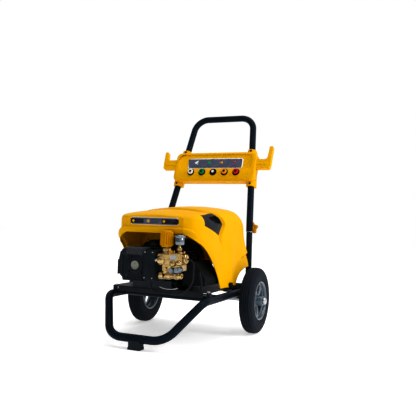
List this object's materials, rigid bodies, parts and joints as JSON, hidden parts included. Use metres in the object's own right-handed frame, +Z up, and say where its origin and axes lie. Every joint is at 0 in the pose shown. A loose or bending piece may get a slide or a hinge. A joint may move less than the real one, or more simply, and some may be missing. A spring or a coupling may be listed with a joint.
{
  "type": "pressure washer",
  "caption": "Wheeled pressure washer: tube frame with foot loop, moulded hood, brass-headed piston pump, leaning push handle with nozzle panel and hose hooks",
  "frame": {"origin": "centre of the bounding box in plan, at floor level under the tyres and the front foot", "axes": "+Z up, -Y towards the foot loop and pump, +Y towards the push handle, +X to the right seen from the front"},
  "size_m": [0.576, 0.7888, 0.9071],
  "materials": {
    "frame": "dark blue-black satin powder coat",
    "plate": "dark grey textured coat",
    "rubber": "matte moulded rubber",
    "tyre": "matte tyre with circumferential grooves",
    "rim": "silver grey paint",
    "steel": "satin steel",
    "chrome": "polished",
    "brass": "machined and cast brass",
    "cast_black": "black coated casting",
    "motor": "dark grey enamel",
    "black_plastic": "matte black plastic",
    "grey_plastic": "matte dark grey plastic",
    "yellow_plastic": "satin-gloss moulded yellow plastic",
    "yellow_knob": "satin yellow plastic",
    "label": null,
    "sight_glass": "clear window over oil",
    "dial": "white printed dial",
    "hose": "black rubber hose",
    "nozzle_white": "white insert",
    "nozzle_green": "green insert",
    "nozzle_black": "black insert",
    "nozzle_yellow": "amber insert",
    "nozzle_red": "red insert"
  },
  "bodies": {
    "chassis": {"front_loop": "frame", "front_foot": "rubber", "cross_member_front": "frame", "cross_member_rear": "frame", "base_plate": "plate", "axle": "steel", "side_rail_left": "frame", "upright_left": "frame", "axle_bracket_left": "frame", "axle_cap_left": "black_plastic", "vent_left": "grey_plastic", "hood_bracket_left": "cast_black", "hood": "yellow_plastic", "hood_label": "label", "crankcase": "cast_black", "crankcase_cover": "cast_black", "sight_glass": "sight_glass", "pump_manifold": "brass", "gauge_case": "chrome", "gauge_dial": "dial", "outlet_coupler": "brass", "bypass_hose": "hose", "motor_body": "motor", "motor_base": "cast_black", "motor_fan_cover": "motor", "pump_support": "cast_black", "terminal_box": "black_plastic", "side_rail_right": "frame", "upright_right": "frame", "axle_bracket_right": "frame", "axle_cap_right": "black_plastic", "vent_right": "grey_plastic", "hood_bracket_right": "cast_black"},
    "handle": {"handle_tube": "frame", "nozzle_panel": "yellow_plastic", "nozzle_label": "label", "panel_clamp_left": "yellow_plastic", "panel_clamp_right": "yellow_plastic", "hook_left": "yellow_plastic", "hook_right": "yellow_plastic"},
    "wheel_left": {"tyre_left": "tyre", "rim_left": "rim"},
    "wheel_right": {"tyre_right": "tyre", "rim_right": "rim"},
    "joint_knob_left": {"joint_knob_left": "yellow_knob"},
    "joint_knob_right": {"joint_knob_right": "yellow_knob"},
    "hood_knob_left": {"hood_knob_left": "black_plastic"},
    "hood_knob_right": {"hood_knob_right": "black_plastic"},
    "oil_cap": {"oil_cap": "black_plastic"},
    "unloader_knob": {"unloader_knob": "yellow_knob"},
    "gauge_needle": {"gauge_needle": "black_plastic"},
    "rotor": {"motor_rotor": "steel"},
    "power_switch": {"power_switch": "black_plastic"},
    "nozzle_white": {"nozzle_white": "nozzle_white"},
    "nozzle_green": {"nozzle_green": "nozzle_green"},
    "nozzle_black": {"nozzle_black": "nozzle_black"},
    "nozzle_yellow": {"nozzle_yellow": "nozzle_yellow"},
    "nozzle_red": {"nozzle_red": "nozzle_red"}
  },
  "joints": [
    {"name": "wheel_left_roll", "type": "hinge", "parent": "chassis", "child": "wheel_left", "pos_m": [-0.241, 0.13157, 0.127], "axis": [1, 0, 0], "continuous": true},
    {"name": "wheel_right_roll", "type": "hinge", "parent": "chassis", "child": "wheel_right", "pos_m": [0.241, 0.13157, 0.127], "axis": [1, 0, 0], "continuous": true},
    {"name": "handle_lift", "type": "slide", "parent": "chassis", "child": "handle", "axis": [0, 0, 1], "range_m": [0, 0.03]},
    {"name": "joint_knob_left_turn", "type": "hinge", "parent": "handle", "child": "joint_knob_left", "pos_m": [-0.188, 0.23157, 0.408], "axis": [0, 1, 0], "continuous": true},
    {"name": "hood_knob_left_turn", "type": "hinge", "parent": "chassis", "child": "hood_knob_left", "pos_m": [-0.19, -0.01143, 0.196], "axis": [1, 0, 0], "continuous": true},
    {"name": "joint_knob_right_turn", "type": "hinge", "parent": "handle", "child": "joint_knob_right", "pos_m": [0.188, 0.23157, 0.408], "axis": [0, 1, 0], "continuous": true},
    {"name": "hood_knob_right_turn", "type": "hinge", "parent": "chassis", "child": "hood_knob_right", "pos_m": [0.19, -0.01143, 0.196], "axis": [1, 0, 0], "continuous": true},
    {"name": "nozzle_white_pull", "type": "slide", "parent": "handle", "child": "nozzle_white", "axis": [0, -0.9367, 0.3502], "range_m": [0, 0.035]},
    {"name": "nozzle_green_pull", "type": "slide", "parent": "handle", "child": "nozzle_green", "axis": [0, -0.9367, 0.3502], "range_m": [0, 0.035]},
    {"name": "nozzle_black_pull", "type": "slide", "parent": "handle", "child": "nozzle_black", "axis": [0, -0.9367, 0.3502], "range_m": [0, 0.035]},
    {"name": "nozzle_yellow_pull", "type": "slide", "parent": "handle", "child": "nozzle_yellow", "axis": [0, -0.9367, 0.3502], "range_m": [0, 0.035]},
    {"name": "nozzle_red_pull", "type": "slide", "parent": "handle", "child": "nozzle_red", "axis": [0, -0.9367, 0.3502], "range_m": [0, 0.035]},
    {"name": "oil_cap_turn", "type": "hinge", "parent": "chassis", "child": "oil_cap", "pos_m": [0.01, -0.29843, 0.345], "axis": [0, 0, 1], "continuous": true},
    {"name": "unloader_knob_turn", "type": "hinge", "parent": "chassis", "child": "unloader_knob", "pos_m": [0.068, -0.30843, 0.37], "axis": [0, 0, 1], "range_deg": [-360, 360]},
    {"name": "gauge_needle_swing", "type": "hinge", "parent": "chassis", "child": "gauge_needle", "pos_m": [0.1165, -0.30843, 0.379], "axis": [0, 0, -1], "range_deg": [0, 270]},
    {"name": "rotor_spin", "type": "hinge", "parent": "chassis", "child": "rotor", "pos_m": [-0.035, -0.06843, 0.275], "axis": [0, 1, 0], "continuous": true},
    {"name": "power_switch_turn", "type": "hinge", "parent": "chassis", "child": "power_switch", "pos_m": [0.09, 0.19157, 0.34], "axis": [0, 1, 0], "range_deg": [0, 90]}
  ]
}
